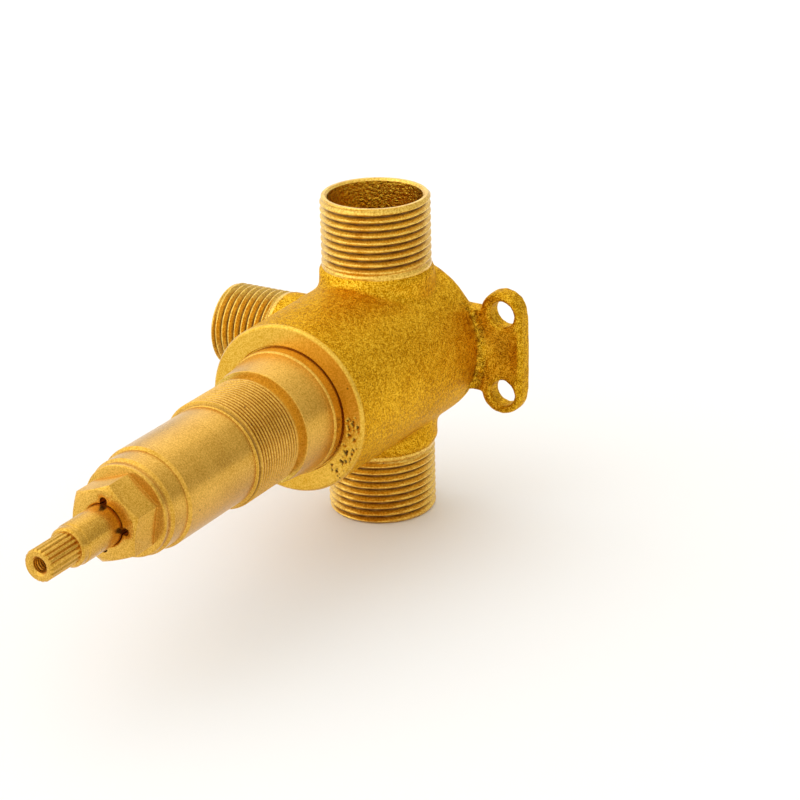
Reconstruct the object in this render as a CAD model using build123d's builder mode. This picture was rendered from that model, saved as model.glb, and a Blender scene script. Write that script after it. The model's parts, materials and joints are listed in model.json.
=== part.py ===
import os
from math import asin, cos, pi, radians, sin, tan

from build123d import *

os.makedirs("parts", exist_ok=True)

# In-wall stop valve, in millimetres. +Z is up, the spindle points to -Y and the ear lies on the +X side.
# The origin is where the spindle's axis meets the body's flat back.

# Body casting, with a slight draft from its back to its machined face
barrel_r = 20.4
barrel_back_r = 21.4
ports_from_back = 16.0
face_from_ports = 41.4
face_chamfer = 0.8
back_round = 4.0
cast_round = 2.0

# Supply ports, top and bottom, with a 3/4 inch pipe thread (26.441 over the crests)
supply_r = 13.22
supply_reach = 40.2
supply_neck_r = 14.0
supply_neck_rise = 1.6
supply_neck_cone = 1.5
socket_r = 11.45
socket_depth = 13.0
waterway_r = 9.0
port_chamfer = 0.6

# Outlet port, on the -X side, with a 1/2 inch pipe thread (20.955 over the crests)
outlet_r = 10.48
outlet_reach = 42.6
outlet_neck_r = 10.75
outlet_neck_rise = 5.1
outlet_neck_cone = 0.8
outlet_bore_r = 7.0
wall_behind_outlet = 3.4

# Ear with its two fixing holes, which stand off from the edge of the body's back
ear_thickness = 4.8
ear_hole_offset = 6.3
ear_hole_spacing = 20.3
ear_hole_r = 3.2
ear_lobe_offset = 5.75
ear_lobe_r = 5.6
ear_bulge = 0.4
ear_web_height = 21.0
ear_root_round = 0.8
ear_edge_round = 1.4
ear_scoop_r = 12.0
ear_scoop_depth = 1.3
ear_scoop_margin = 1.8

# Seat, chamber and the gallery that leads from the chamber to the outlet
seat_from_ports = 14.5
seat_hole_r = 6.6
chamber_r = 13.6
recess_r = 15.4
recess_depth = 0.8
gallery_r = 3.8
gallery_wall = 2.4
gallery_start = 3.0

# Disc stack, from the seat forward
seal_thickness = 2.2
fixed_disc_thickness = 3.2
moving_disc_thickness = 3.3
window_length = 5.1
flange_thickness = 3.0
thrust_washer_thickness = 1.2
disc_r = 9.6
disc_port_inner_r = 3.8
disc_port_width = 2.8
disc_port_half_angle = 38.0
disc_slot_width = 5.2
disc_slot_depth = 1.6

# Disc cage
cage_wall = 2.0
lug_angle = 90.0
cage_rim_length = 3.0
window_half_angle = 34.0
key_half_angle = 8.0
key_height = 0.9
lug_half_angle = 12.0
lug_height = 2.7
turn_range = 90.0

# Sleeve, from the body's face forward
rim_r = 15.1
rim_length = 3.2
rim_chamfer = 0.4
collar_back_r = 14.7
collar_front_r = 13.65
collar_length = 9.6
undercut_r = 12.0
undercut_length = 1.8
trim_thread_r = 12.9
trim_thread_length = 16.2
trim_thread_chamfer = 0.8
sleeve_barrel_r = 11.75
sleeve_barrel_length = 24.8
sleeve_barrel_chamfer = 0.5
nose_r = 11.05
nose_length = 5.4
nose_chamfer = 0.6
sleeve_bore_r = 7.0
gland_thread_r = 8.6
gland_thread_depth = 12.4
spigot_groove_width = 2.2
spigot_groove_depth = 1.5
spigot_groove_inset = 2.0

# Gland bush and its washer
gland_washer_thickness = 0.5
gland_flange_r = 10.5
gland_flange_thickness = 1.4
gland_edge_chamfer = 0.25
hex_sides = 6
hex_across_flats = 16.0
hex_length = 7.5
hex_turn = 20.0
hex_face_margin = 0.15
hex_chamfer_angle = 30.0
gland_shank_length = 11.0
bore_mouth_chamfer = 0.35
slot_count = 4
slot_width = 1.8
slot_reach = 1.7
slot_depth = 2.4
slot_turn = -4.0

# Spindle
journal_r = 4.64
shaft_r = 4.0
journal_reach = 10.7
shoulder_chamfer = 0.4
spindle_collar_r = 4.4
spindle_collar_length = 1.9
spindle_collar_chamfer = 0.4
spline_r = 3.6
spline_length = 9.2
spline_teeth = 20
spline_groove_depth = 0.42
spline_groove_width = 0.64
spline_end_chamfer = 0.4
tapped_hole_r = 1.65
tapped_hole_depth = 12.0
tapped_hole_mouth_r = 2.2
tapped_hole_mouth_angle = 90.0
journal_overrun = 2.0
tongue_width = 5.0
tongue_tip_gap = 0.1
o_ring_groove_r = 3.3
o_ring_groove_width = 1.8
o_ring_inset = 3.0
o_ring_pitch = 4.2

# Clearances
running_gap = 0.06
thread_gap = 0.1
loose_gap = 0.3
disc_gap = 0.4
seal_squeeze_gap = 0.03
end_gap = 0.4
stop_gap_angle = 1.0
key_gap_angle = 2.0
match_gap = 0.001

# Places along the spindle's axis
back_y = 0.0
ports_y = back_y - ports_from_back
face_y = ports_y - face_from_ports
seat_y = ports_y - seat_from_ports
fixed_disc_y = seat_y - seal_thickness
moving_disc_y = fixed_disc_y - fixed_disc_thickness
window_y = moving_disc_y - moving_disc_thickness
flange_y = window_y - window_length
thrust_washer_y = flange_y - flange_thickness
spigot_y = thrust_washer_y - thrust_washer_thickness
recess_y = face_y + recess_depth
rim_y = face_y - rim_length
collar_y = rim_y - collar_length
trim_thread_y = collar_y - undercut_length
sleeve_barrel_y = trim_thread_y - trim_thread_length
nose_y = sleeve_barrel_y - sleeve_barrel_length
nose_end_y = nose_y - nose_length
gland_flange_y = nose_end_y - gland_washer_thickness
hex_y = gland_flange_y - gland_flange_thickness
hex_end_y = hex_y - hex_length
shoulder_y = hex_end_y - journal_reach
spline_y = shoulder_y - spindle_collar_length
tip_y = spline_y - spline_length
gland_shank_y = gland_flange_y + gland_shank_length

# Sizes that follow from the fits
barrel_widest_r = max(barrel_r, barrel_back_r)
supply_neck_end = barrel_widest_r + supply_neck_rise
outlet_neck_end = barrel_widest_r + outlet_neck_rise
ear_hole_x = barrel_back_r + ear_hole_offset
ear_lobe_x = barrel_back_r + ear_lobe_offset
neck_gap_angle = pi / 2 - asin(supply_neck_r / barrel_r) - asin(outlet_neck_r / barrel_r)
neck_root_round = min(cast_round, barrel_r * neck_gap_angle / 2)
cage_bore_r = disc_r + disc_gap
cage_r = cage_bore_r + cage_wall
spigot_r = chamber_r - thread_gap
gland_bore_r = journal_r + running_gap
gland_shank_r = gland_thread_r - thread_gap
disc_port_outer_r = disc_port_inner_r + disc_port_width
seal_inner_r = seat_hole_r + loose_gap
seal_outer_r = cage_bore_r - loose_gap
gallery_x = barrel_r - gallery_wall - gallery_r
outlet_bore_end = waterway_r + wall_behind_outlet
spigot_groove_r = spigot_r - spigot_groove_depth
spigot_groove_y = recess_y + spigot_groove_inset
hex_corner_r = hex_across_flats / 2 / cos(pi / hex_sides)
hex_face_r = hex_across_flats / 2 - hex_face_margin
hex_chamfer_length = (hex_corner_r - hex_face_r) * tan(radians(hex_chamfer_angle))
lug_r = cage_bore_r - lug_height
key_r = cage_bore_r - key_height
journal_y = gland_shank_y + journal_overrun
tongue_y = window_y + disc_slot_depth - tongue_tip_gap

ports_plane = Plane(origin=(0, ports_y, 0), x_dir=(1, 0, 0), z_dir=(0, 0, 1))
outlet_plane = Plane(origin=(0, ports_y, 0), x_dir=(0, 1, 0), z_dir=(-1, 0, 0))
supply_axis = Axis((0, ports_y, 0), (0, 0, 1))
outlet_axis = Axis((0, ports_y, 0), (-1, 0, 0))


def front_plane(y):
    # A plane across the spindle's axis: X to the right, Z up, facing the front
    return Plane(origin=(0, y, 0), x_dir=(1, 0, 0), z_dir=(0, -1, 0))


def sector(inner_r, outer_r, middle, half_angle):
    # A ring sector with its middle at an angle counted from +X towards +Z
    first = radians(middle - half_angle)
    centre = radians(middle)
    last = radians(middle + half_angle)
    with BuildSketch() as shape:
        with BuildLine():
            inner = ThreePointArc(
                (inner_r * cos(first), inner_r * sin(first)),
                (inner_r * cos(centre), inner_r * sin(centre)),
                (inner_r * cos(last), inner_r * sin(last)),
            )
            outer = ThreePointArc(
                (outer_r * cos(first), outer_r * sin(first)),
                (outer_r * cos(centre), outer_r * sin(centre)),
                (outer_r * cos(last), outer_r * sin(last)),
            )
            Line(inner @ 0, outer @ 0)
            Line(inner @ 1, outer @ 1)
        make_face()
    return shape.sketch


def finish(builder, name):
    builder.part.label = name
    export_step(builder.part, f"parts/{name}.step")


# Cast body: front barrel, three necked ports and the ear, then the machined bores
with BuildPart() as valve_body:
    with BuildSketch(Plane.XY):
        with BuildLine():
            Polyline((0, back_y), (barrel_back_r, back_y), (barrel_r, face_y), (0, face_y), close=True)
        make_face()
    revolve(axis=Axis.Y)
    fillet(valve_body.edges().group_by(Axis.Y)[-1], back_round)

    with BuildSketch(front_plane(ports_y)):
        with BuildLine():
            Polyline(
                (0, -supply_neck_end),
                (supply_r, -supply_neck_end),
                (supply_neck_r, supply_neck_cone - supply_neck_end),
                (supply_neck_r, supply_neck_end - supply_neck_cone),
                (supply_r, supply_neck_end),
                (0, supply_neck_end),
                close=True,
            )
        make_face()
    revolve(axis=supply_axis)
    with BuildSketch(front_plane(ports_y)):
        with BuildLine():
            Polyline(
                (0, 0),
                (0, outlet_neck_r),
                (outlet_neck_cone - outlet_neck_end, outlet_neck_r),
                (-outlet_neck_end, outlet_r),
                (-outlet_neck_end, 0),
                close=True,
            )
        make_face()
    revolve(axis=outlet_axis)
    neck_roots = valve_body.edges().filter_by(GeomType.BSPLINE)
    fillet(neck_roots, neck_root_round)

    with BuildSketch(ports_plane):
        Circle(supply_r)
    extrude(amount=supply_reach, both=True)
    with BuildSketch(outlet_plane):
        Circle(outlet_r)
    extrude(amount=outlet_reach)

    with BuildSketch(front_plane(back_y)):
        with Locations((ear_lobe_x, ear_hole_spacing / 2), (ear_lobe_x, -ear_hole_spacing / 2)):
            Circle(ear_lobe_r)
        with Locations((ear_lobe_x + ear_bulge, 0)):
            Circle(ear_lobe_r)
        make_hull()
        with Locations((ear_lobe_x / 2, 0)):
            Rectangle(ear_lobe_x, ear_web_height)
    extrude(amount=ear_thickness)

    ear_root = valve_body.edges().filter_by(GeomType.CIRCLE).filter_by(
        lambda edge: edge.radius > 2 * ear_lobe_r and abs(edge.center().Y + ear_thickness) < match_gap
    )
    fillet(ear_root, ear_root_round)
    ear_face = valve_body.faces().filter_by(Axis.Y).sort_by(lambda face: abs(face.center().Y + ear_thickness))[0]
    ear_rim = ear_face.outer_wire().edges().filter_by(lambda edge: (edge @ 0.5).X > ear_lobe_x - ear_lobe_r / 2)
    fillet(ear_rim, ear_edge_round)
    scoop_start = barrel_back_r + ear_root_round
    scoop_end = ear_lobe_x + ear_lobe_r - ear_scoop_margin
    with BuildSketch(Plane.YZ.offset(scoop_start)):
        with Locations((back_y - ear_thickness + ear_scoop_depth - ear_scoop_r, 0)):
            Circle(ear_scoop_r)
    extrude(amount=scoop_end - scoop_start, mode=Mode.SUBTRACT)
    with BuildSketch(front_plane(back_y)):
        with Locations((ear_hole_x, ear_hole_spacing / 2), (ear_hole_x, -ear_hole_spacing / 2)):
            Circle(ear_hole_r)
    extrude(amount=ear_thickness, mode=Mode.SUBTRACT)

    chamfer(valve_body.edges().filter_by(GeomType.CIRCLE).group_by(Axis.Y)[0], face_chamfer)
    chamfer(valve_body.edges().filter_by(GeomType.CIRCLE).group_by(Axis.Z)[-1], port_chamfer)
    chamfer(valve_body.edges().filter_by(GeomType.CIRCLE).group_by(Axis.Z)[0], port_chamfer)
    chamfer(valve_body.edges().filter_by(GeomType.CIRCLE).group_by(Axis.X)[0], port_chamfer)

    with BuildSketch(ports_plane):
        Circle(waterway_r)
    extrude(amount=supply_reach, both=True, mode=Mode.SUBTRACT)
    for end_plane in (ports_plane.offset(supply_reach), ports_plane.offset(-supply_reach + socket_depth)):
        with BuildSketch(end_plane):
            Circle(socket_r)
        extrude(amount=-socket_depth, mode=Mode.SUBTRACT)
    with BuildSketch(outlet_plane.offset(outlet_bore_end)):
        Circle(outlet_bore_r)
    extrude(amount=outlet_reach - outlet_bore_end, mode=Mode.SUBTRACT)
    with BuildSketch(front_plane(seat_y)):
        Circle(chamber_r)
    extrude(amount=seat_y - face_y, mode=Mode.SUBTRACT)
    with BuildSketch(front_plane(recess_y)):
        Circle(recess_r)
    extrude(amount=recess_depth, mode=Mode.SUBTRACT)
    with BuildSketch(front_plane(ports_y)):
        Circle(seat_hole_r)
    extrude(amount=seat_from_ports, mode=Mode.SUBTRACT)
    with BuildSketch(front_plane(ports_y - gallery_start)):
        with Locations((-gallery_x, 0)):
            Circle(gallery_r)
    extrude(amount=ports_y - gallery_start - flange_y, mode=Mode.SUBTRACT)
finish(valve_body, "valve_body")

# Rubber ring on the body's seat
with BuildPart() as seat_seal:
    with BuildSketch(front_plane(seat_y)):
        Circle(seal_outer_r)
        Circle(seal_inner_r, mode=Mode.SUBTRACT)
    extrude(amount=seal_thickness)
finish(seat_seal, "seat_seal")

# Lower ceramic disc, held from turning by the cage's two keys
with BuildPart() as fixed_disc:
    with BuildSketch(front_plane(fixed_disc_y)):
        Circle(disc_r)
        for side in (0, 180):
            add(sector(disc_port_inner_r, disc_port_outer_r, side, disc_port_half_angle), mode=Mode.SUBTRACT)
            notch = sector(key_r - loose_gap, cage_bore_r, side + 90, key_half_angle + key_gap_angle)
            add(notch, mode=Mode.SUBTRACT)
    extrude(amount=fixed_disc_thickness)
finish(fixed_disc, "fixed_disc")

# Upper ceramic disc, closed at rest, with the slot for the spindle's tongue across its front
with BuildPart() as moving_disc:
    with BuildSketch(front_plane(moving_disc_y)):
        Circle(disc_r)
        for side in (90, 270):
            add(sector(disc_port_inner_r, disc_port_outer_r, side, disc_port_half_angle), mode=Mode.SUBTRACT)
    extrude(amount=moving_disc_thickness)
    with BuildSketch(front_plane(window_y)):
        Rectangle(2 * cage_r, disc_slot_width)
    extrude(amount=-disc_slot_depth, mode=Mode.SUBTRACT)
finish(moving_disc, "moving_disc")

# Brass cage round the discs: rim, two windows, two keys for the fixed disc and one stop lug
with BuildPart() as disc_cage:
    with BuildSketch(Plane.XY):
        with BuildLine():
            Polyline(
                (cage_bore_r, seat_y - end_gap),
                (cage_r, seat_y - end_gap),
                (cage_r, spigot_y + cage_rim_length),
                (spigot_r, spigot_y + cage_rim_length),
                (spigot_r, spigot_y),
                (cage_bore_r, spigot_y),
                close=True,
            )
        make_face()
    revolve(axis=Axis.Y)
    with BuildSketch(front_plane(window_y)):
        for side in (0, 180):
            add(sector(cage_bore_r - cage_wall, cage_r + cage_wall, side, window_half_angle))
    extrude(amount=window_length, mode=Mode.SUBTRACT)
    with BuildSketch(front_plane(fixed_disc_y - end_gap)):
        for side in (90, 270):
            add(sector(key_r, cage_bore_r + cage_wall / 2, side, key_half_angle))
    extrude(amount=fixed_disc_thickness - 2 * end_gap)
    with BuildSketch(front_plane(flange_y - end_gap)):
        add(sector(lug_r, cage_bore_r + cage_wall / 2, lug_angle, lug_half_angle))
    extrude(amount=flange_thickness - 2 * end_gap)
finish(disc_cage, "disc_cage")

# Plastic washer that takes the spindle's thrust against the sleeve
with BuildPart() as thrust_washer:
    with BuildSketch(front_plane(thrust_washer_y)):
        Circle(disc_r)
        Circle(shaft_r + loose_gap, mode=Mode.SUBTRACT)
    extrude(amount=thrust_washer_thickness)
finish(thrust_washer, "thrust_washer")

# Turned sleeve: spigot with its seal groove, rim, tapered collar, trim thread, barrel and nose
with BuildPart() as bonnet_sleeve:
    with BuildSketch(Plane.XY):
        with BuildLine():
            Polyline(
                (sleeve_bore_r, spigot_y),
                (spigot_r, spigot_y),
                (spigot_r, spigot_groove_y + spigot_groove_width),
                (spigot_groove_r, spigot_groove_y + spigot_groove_width),
                (spigot_groove_r, spigot_groove_y),
                (spigot_r, spigot_groove_y),
                (spigot_r, recess_y),
                (rim_r, recess_y),
                (rim_r, rim_y + rim_chamfer),
                (collar_back_r, rim_y),
                (collar_front_r, collar_y),
                (undercut_r, collar_y),
                (undercut_r, trim_thread_y),
                (trim_thread_r, trim_thread_y - (trim_thread_r - undercut_r)),
                (trim_thread_r, sleeve_barrel_y + trim_thread_chamfer),
                (sleeve_barrel_r, sleeve_barrel_y),
                (sleeve_barrel_r, nose_y + sleeve_barrel_chamfer),
                (nose_r, nose_y),
                (nose_r, nose_end_y + nose_chamfer),
                (nose_r - nose_chamfer, nose_end_y),
                (gland_thread_r, nose_end_y),
                (gland_thread_r, nose_end_y + gland_thread_depth),
                (sleeve_bore_r, nose_end_y + gland_thread_depth),
                close=True,
            )
        make_face()
    revolve(axis=Axis.Y)
finish(bonnet_sleeve, "bonnet_sleeve")

# Seal in the spigot's groove
with BuildPart() as bonnet_o_ring:
    with BuildSketch(Plane.XY):
        with Locations(((spigot_groove_r + chamber_r) / 2, spigot_groove_y + spigot_groove_width / 2)):
            Circle((chamber_r - spigot_groove_r) / 2 - seal_squeeze_gap)
    revolve(axis=Axis.Y)
finish(bonnet_o_ring, "bonnet_o_ring")

# Thin washer under the bush's flange
with BuildPart() as gland_washer:
    with BuildSketch(front_plane(nose_end_y)):
        Circle(nose_r - nose_chamfer)
        Circle(gland_shank_r + loose_gap, mode=Mode.SUBTRACT)
    extrude(amount=gland_washer_thickness)
finish(gland_washer, "gland_washer")

# Gland bush: threaded shank, round flange and a chamfered hexagon with four slots round its bore
with BuildPart() as gland_bush:
    with BuildSketch(front_plane(gland_shank_y)):
        Circle(gland_shank_r)
    extrude(amount=gland_shank_length)
    with BuildSketch(front_plane(gland_flange_y)):
        Circle(gland_flange_r)
    extrude(amount=gland_flange_thickness)
    chamfer(gland_bush.edges().filter_by(GeomType.CIRCLE).group_by(Axis.Y)[0], gland_edge_chamfer)
    with BuildSketch(front_plane(hex_y)):
        RegularPolygon(hex_corner_r, hex_sides, rotation=hex_turn)
    extrude(amount=hex_length)
    with BuildSketch(Plane.XY):
        with BuildLine():
            Polyline(
                (hex_face_r, hex_end_y),
                (hex_corner_r, hex_end_y + hex_chamfer_length),
                (hex_corner_r, hex_end_y),
                close=True,
            )
        make_face()
    revolve(axis=Axis.Y, mode=Mode.SUBTRACT)
    with BuildSketch(front_plane(gland_shank_y)):
        Circle(gland_bore_r)
    extrude(amount=gland_shank_y - hex_end_y, mode=Mode.SUBTRACT)
    bore_mouth = gland_bush.edges().filter_by(GeomType.CIRCLE).group_by(Axis.Y)[0].sort_by(SortBy.RADIUS)[0]
    chamfer(bore_mouth, bore_mouth_chamfer)
    with BuildSketch(front_plane(hex_end_y)):
        with PolarLocations(gland_bore_r, slot_count, start_angle=slot_turn):
            SlotOverall(2 * slot_reach, slot_width)
    extrude(amount=-slot_depth, mode=Mode.SUBTRACT)
finish(gland_bush, "gland_bush")

# Spindle: tongue and stop flange inside, then shaft, sealed journal, collar and splined, tapped end
with BuildPart() as spindle:
    back_groove_y = gland_shank_y - o_ring_inset
    front_groove_y = back_groove_y - o_ring_pitch
    with BuildSketch(Plane.XY):
        with BuildLine():
            Polyline(
                (0, flange_y),
                (disc_r, flange_y),
                (disc_r, thrust_washer_y),
                (shaft_r, thrust_washer_y),
                (shaft_r, journal_y),
                (journal_r, journal_y - (journal_r - shaft_r)),
                (journal_r, back_groove_y + o_ring_groove_width / 2),
                (o_ring_groove_r, back_groove_y + o_ring_groove_width / 2),
                (o_ring_groove_r, back_groove_y - o_ring_groove_width / 2),
                (journal_r, back_groove_y - o_ring_groove_width / 2),
                (journal_r, front_groove_y + o_ring_groove_width / 2),
                (o_ring_groove_r, front_groove_y + o_ring_groove_width / 2),
                (o_ring_groove_r, front_groove_y - o_ring_groove_width / 2),
                (journal_r, front_groove_y - o_ring_groove_width / 2),
                (journal_r, shoulder_y + shoulder_chamfer),
                (spindle_collar_r, shoulder_y),
                (spindle_collar_r, spline_y + spindle_collar_chamfer),
                (spindle_collar_r - spindle_collar_chamfer, spline_y),
                (spline_r, spline_y),
                (spline_r, tip_y + spline_end_chamfer),
                (spline_r - spline_end_chamfer, tip_y),
                (0, tip_y),
                close=True,
            )
        make_face()
    revolve(axis=Axis.Y)
    with BuildSketch(front_plane(flange_y)):
        stop_half_angle = turn_range / 2 + lug_half_angle + stop_gap_angle
        add(sector(lug_r - disc_gap, cage_bore_r, lug_angle - turn_range / 2, stop_half_angle))
    extrude(amount=flange_thickness, mode=Mode.SUBTRACT)
    with BuildSketch(front_plane(tongue_y)):
        Rectangle(2 * disc_r, tongue_width)
        Circle(disc_r, mode=Mode.INTERSECT)
    extrude(amount=tongue_y - flange_y)
    with BuildSketch(front_plane(spline_y)):
        with PolarLocations(spline_r, spline_teeth):
            Polygon(
                (spline_groove_depth, -spline_groove_width),
                (spline_groove_depth, spline_groove_width),
                (-spline_groove_depth, 0),
                align=None,
            )
    extrude(amount=spline_length, mode=Mode.SUBTRACT)
    with Locations(front_plane(tip_y)):
        CounterSinkHole(tapped_hole_r, tapped_hole_mouth_r, tapped_hole_depth, tapped_hole_mouth_angle)
finish(spindle, "spindle")

# Spindle seals inside the bush
spindle_seal_section = (gland_bore_r - o_ring_groove_r) / 2 - seal_squeeze_gap
for seal_name, groove_y in (("spindle_o_ring_back", back_groove_y), ("spindle_o_ring_front", front_groove_y)):
    with BuildPart() as spindle_o_ring:
        with BuildSketch(Plane.XY):
            with Locations(((o_ring_groove_r + gland_bore_r) / 2, groove_y)):
                Circle(spindle_seal_section)
        revolve(axis=Axis.Y)
    finish(spindle_o_ring, seal_name)
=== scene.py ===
import json
from math import cos, pi, radians, sin

import bmesh
import bpy
import numpy as np
from mathutils import Matrix, Vector


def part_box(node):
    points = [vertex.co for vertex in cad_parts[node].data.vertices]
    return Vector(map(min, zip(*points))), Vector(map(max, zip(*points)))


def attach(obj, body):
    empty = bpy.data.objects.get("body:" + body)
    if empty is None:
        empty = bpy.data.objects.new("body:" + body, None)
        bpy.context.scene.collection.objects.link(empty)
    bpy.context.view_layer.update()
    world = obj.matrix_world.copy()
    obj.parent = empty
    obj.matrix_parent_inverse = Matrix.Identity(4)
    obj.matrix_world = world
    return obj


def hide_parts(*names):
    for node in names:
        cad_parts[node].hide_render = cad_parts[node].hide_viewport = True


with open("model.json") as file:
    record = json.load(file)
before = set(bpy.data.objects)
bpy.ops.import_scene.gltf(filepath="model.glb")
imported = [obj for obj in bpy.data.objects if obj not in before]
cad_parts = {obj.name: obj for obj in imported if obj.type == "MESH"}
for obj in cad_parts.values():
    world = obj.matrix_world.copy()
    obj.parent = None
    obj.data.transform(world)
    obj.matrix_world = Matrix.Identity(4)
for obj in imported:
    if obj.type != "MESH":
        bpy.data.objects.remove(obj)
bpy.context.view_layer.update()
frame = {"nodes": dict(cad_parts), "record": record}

mm = 0.001  # lengths in the dictionaries are millimetres, noise scales are cells to the metre
weldGap = 0.002 * mm  # vertices closer than this are one
cutGap = 0.001 * mm  # vertices closer than this to a cut lie on it
nodes = frame["nodes"]
mounts = {mount["name"]: mount for mount in frame["record"]["mounts"]}
print("frame loaded:", len(nodes), "nodes")


# Reading sizes from the frame

def mountRadius(name):
    return mounts[name]["dims"]["r_mm"]


def boxMm(node):
    low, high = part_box(node)
    return np.array(low) / mm, np.array(high) / mm


bodyLow, bodyHigh = boxMm("valve_body")
sleeveLow, sleeveHigh = boxMm("bonnet_sleeve")
spindleLow = boxMm("spindle")[0]
portsY = mounts["supply_top"]["pos_m"][1] / mm


# Mesh helpers

def gridFaces(rows, columns, closedRows):
    # quads between neighbouring rows and columns; columns always close, rows close on request
    rowCount = rows if closedRows else rows - 1
    row, column = np.meshgrid(np.arange(rowCount), np.arange(columns), indexing="ij")
    nextRow = (row + 1) % rows
    nextColumn = (column + 1) % columns
    corners = (row * columns + column, row * columns + nextColumn,
               nextRow * columns + nextColumn, nextRow * columns + column)
    return np.stack(corners, axis=-1).reshape(-1, 4)


def meshFromGrid(name, points, closedRows):
    rows, columns = points.shape[:2]
    mesh = bpy.data.meshes.new(name)
    mesh.from_pydata(points.reshape(-1, 3) * mm, [], gridFaces(rows, columns, closedRows))
    mesh.update()
    return mesh


def turnOutward(mesh):
    # a closed shell has its normals recalculated so that every face points outwards
    work = bmesh.new()
    work.from_mesh(mesh)
    bmesh.ops.recalc_face_normals(work, faces=work.faces)
    work.to_mesh(mesh)
    work.free()


def markPaintedShade(mesh, groove):
    # how much shade is painted on each vertex, 0 none and 1 darkest: in thread roots, pits, the crease, on
    # the ear and in its dish
    layer = mesh.attributes.new("groove", "FLOAT", "POINT")
    layer.data.foreach_set("value", groove.astype(np.float32).ravel())


def setRowFinish(mesh, chosen, columns):
    # the faces of the chosen rows take the mesh's second material
    mesh.polygons.foreach_set("material_index", np.repeat(chosen.astype(np.int32), columns))


def shadeBy(mesh, sharpAngle):
    mesh.polygons.foreach_set("use_smooth", np.ones(len(mesh.polygons), bool))
    mesh.set_sharp_from_angle(angle=radians(sharpAngle))


def addPiece(name, mesh, body, slotName, *replaced):
    piece = bpy.data.objects.new(name, mesh)
    bpy.context.scene.collection.objects.link(piece)
    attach(piece, body)
    if replaced:
        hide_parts(*replaced)
    return piece


def mergedCopy(node, name):
    # the node's triangles, welded, as a new mesh
    work = bmesh.new()
    work.from_mesh(nodes[node].data)
    bmesh.ops.remove_doubles(work, verts=work.verts, dist=weldGap)
    mesh = bpy.data.meshes.new(name)
    work.to_mesh(mesh)
    work.free()
    mesh.materials.clear()
    return mesh


def densify(corners, step):
    # points along an outline without its last corner: straight runs divided evenly, no part over step
    runs = []
    for start, end in zip(corners[:-1], corners[1:]):
        start, end = np.array(start, float), np.array(end, float)
        count = max(1, int(np.ceil(np.linalg.norm(end - start) / step)))
        share = np.arange(count)[:, None] / count
        runs.append(start + (end - start) * share)
    return np.vstack(runs)


def turnedGrid(profile, columns):
    # surface of revolution: point(u, t) = (r(u) cos t, r(u) sin t, a(u)), t from 0 to 2 pi
    turn = np.linspace(0, 2 * pi, columns, endpoint=False)
    radius = np.repeat(profile[:, :1], columns, axis=1)
    along = np.repeat(profile[:, 1:2], columns, axis=1)
    return radius, along, turn[None, :]


def placeTurned(radius, along, turn, origin, right, up, axis):
    # radius, turn and distance along the axis become points round that axis
    right, up, axis = (np.array(v, float) for v in (right, up, axis))
    spread = radius[..., None] * (np.cos(turn)[..., None] * right + np.sin(turn)[..., None] * up)
    return np.array(origin, float) + spread + along[..., None] * axis


def threadWave(phase, crest, root):
    # one pitch of a thread: 1 on the crest flat, 0 on the root flat, straight flanks between
    away = np.abs((phase % 1.0) - 0.5) * 2.0  # 0 in the middle of the groove, 1 in the middle of the crest
    return np.clip((away - root) / (1.0 - root - crest), 0, 1)


def latticeNoise(points, cell, seed):
    # random numbers on a cubic lattice, blended by smooth steps between the eight corners; from 0 to 1
    size = 64
    table = np.random.default_rng(seed).random((size, size, size))
    place = points / cell
    base = np.floor(place).astype(int)
    share = place - base
    share = share * share * (3 - 2 * share)
    total = np.zeros(len(points))
    for corner in np.ndindex(2, 2, 2):
        at = (base + corner) % size
        weight = np.prod(np.where(corner, share, 1 - share), axis=1)
        total += weight * table[at[:, 0], at[:, 1], at[:, 2]]
    return total


# Node helpers for materials

def newMaterial(name):
    material = bpy.data.materials.new(name)
    material.use_nodes = True
    tree = material.node_tree
    shader = tree.nodes["Principled BSDF"]
    return material, tree, shader


def addNode(tree, kind, **settings):
    node = tree.nodes.new(kind)
    for key, value in settings.items():
        if key in node.inputs:
            node.inputs[key].default_value = value
        else:
            setattr(node, key, value)
    return node


def noiseOf(tree, vector, scale, detail, roughness):
    node = addNode(tree, "ShaderNodeTexNoise")
    node.inputs["Scale"].default_value = scale
    node.inputs["Detail"].default_value = detail
    node.inputs["Roughness"].default_value = roughness
    tree.links.new(vector, node.inputs["Vector"])
    return node.outputs["Fac"]


def rampOf(tree, value, stops):
    node = addNode(tree, "ShaderNodeValToRGB")
    ramp = node.color_ramp
    stops = list(stops)
    while len(ramp.elements) < len(stops):
        ramp.elements.new(0.5)
    for element, (place, colour) in zip(ramp.elements, stops):
        element.position = place
        element.color = (*colour, 1)
    tree.links.new(value, node.inputs["Fac"])
    return node.outputs["Color"]


def rangeOf(tree, value, fromLow, fromHigh, toLow, toHigh):
    node = addNode(tree, "ShaderNodeMapRange")
    for key, number in (("From Min", fromLow), ("From Max", fromHigh), ("To Min", toLow), ("To Max", toHigh)):
        node.inputs[key].default_value = number
    tree.links.new(value, node.inputs["Value"])
    return node.outputs["Result"]


def mathOf(tree, operation, first, second):
    node = addNode(tree, "ShaderNodeMath")
    node.operation = operation
    for index, value in enumerate((first, second)):
        if isinstance(value, (int, float)):
            node.inputs[index].default_value = value
        else:
            tree.links.new(value, node.inputs[index])
    return node.outputs["Value"]


def mixOf(tree, factor, first, second):
    node = addNode(tree, "ShaderNodeMix")
    node.data_type = "RGBA"
    tree.links.new(factor, node.inputs["Factor"])
    for name, value in (("A", first), ("B", second)):
        socket = next(item for item in node.inputs if item.name == name and item.type == "RGBA")
        if isinstance(value, tuple):
            socket.default_value = (*value, 1)
        else:
            tree.links.new(value, socket)
    return next(item for item in node.outputs if item.type == "RGBA")


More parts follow.
